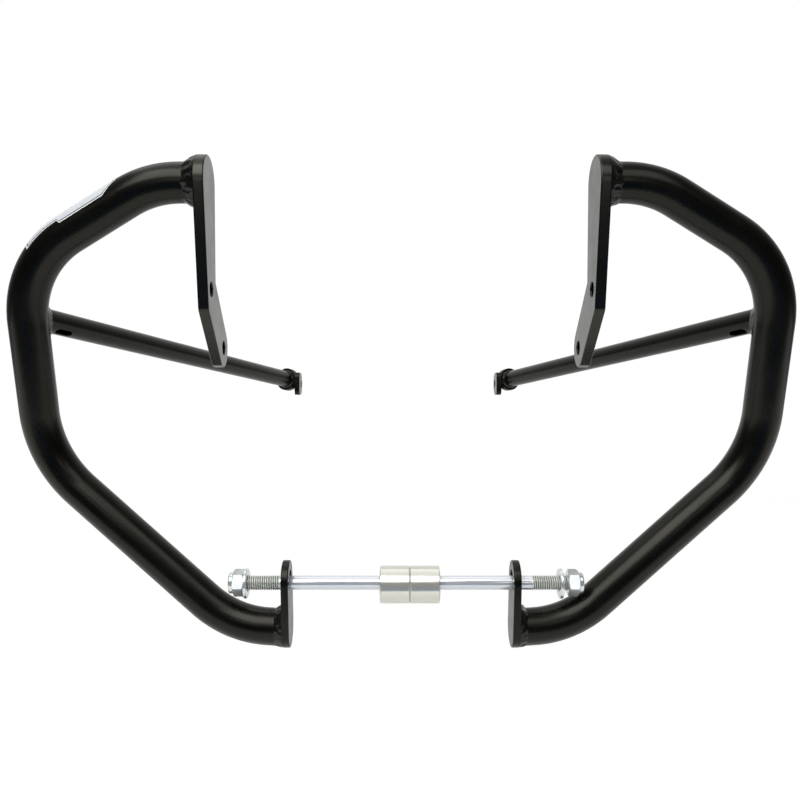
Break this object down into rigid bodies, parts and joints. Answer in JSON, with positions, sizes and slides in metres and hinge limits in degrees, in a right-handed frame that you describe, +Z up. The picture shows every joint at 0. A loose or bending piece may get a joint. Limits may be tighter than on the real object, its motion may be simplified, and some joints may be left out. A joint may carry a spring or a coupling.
{
  "type": "motorcycle crash bars",
  "caption": "Mirrored bent-tube guard bars with flat mounting plates, rear braces, and a threaded through rod with spacers, washers and lock nuts.",
  "frame": {"origin": "on the through rod's axis, halfway between the two bars", "axes": "+X to the part's right along the rod, +Y to the rear, +Z up"},
  "size_m": [0.6106, 0.4335, 0.3795],
  "materials": {
    "powder_coat": "satin",
    "weld_coat": "satin",
    "rod_steel": "bright turned",
    "zinc_plate": "zinc plated",
    "turned_aluminium": "turned",
    "nylon": "matt"
  },
  "bodies": {
    "root": {"left_main_tube": "powder_coat", "right_main_tube": "powder_coat", "left_upper_plate": "powder_coat", "right_upper_plate": "powder_coat", "left_upper_weld": "weld_coat", "right_upper_weld": "weld_coat", "left_lower_tab": "powder_coat", "right_lower_tab": "powder_coat", "left_lower_weld": "weld_coat", "right_lower_weld": "weld_coat", "left_brace_tube": "powder_coat", "right_brace_tube": "powder_coat", "left_brace_weld": "weld_coat", "right_brace_weld": "weld_coat", "left_foot_disc": "powder_coat", "right_foot_disc": "powder_coat", "left_foot_lug": "powder_coat", "right_foot_lug": "powder_coat", "left_foot_weld": "weld_coat", "right_foot_weld": "weld_coat", "left_lug_weld": "weld_coat", "right_lug_weld": "weld_coat", "through_rod": "rod_steel", "left_spacer": "turned_aluminium", "right_spacer": "turned_aluminium", "left_washer": "zinc_plate", "right_washer": "zinc_plate", "left_lock_nut": "zinc_plate", "right_lock_nut": "zinc_plate", "left_nylon_ring": "nylon", "right_nylon_ring": "nylon"}
  },
  "joints": []
}
